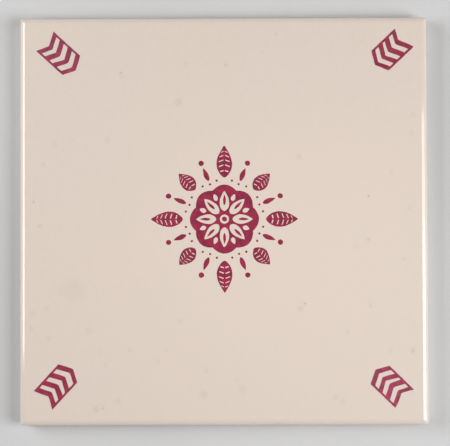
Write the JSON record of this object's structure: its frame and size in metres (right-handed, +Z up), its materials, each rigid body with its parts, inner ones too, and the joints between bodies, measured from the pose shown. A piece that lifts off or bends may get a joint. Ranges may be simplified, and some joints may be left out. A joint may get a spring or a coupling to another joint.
{
  "type": "tea tile",
  "caption": "Square glazed ceramic tile with a cushion edge and a keyed back, laid flat under a hot pot or set on a wall.",
  "frame": {"origin": "centre of the underside, on the plane that the tile rests on", "axes": "+Z up through the thickness towards the glazed face, +X to the picture's right and +Y towards its top"},
  "size_m": [0.1524, 0.1524, 0.0079],
  "materials": {
    "glaze": "gloss",
    "biscuit": "matte",
    "print": "gloss"
  },
  "bodies": {
    "root": {"tile": "glaze"}
  },
  "joints": []
}
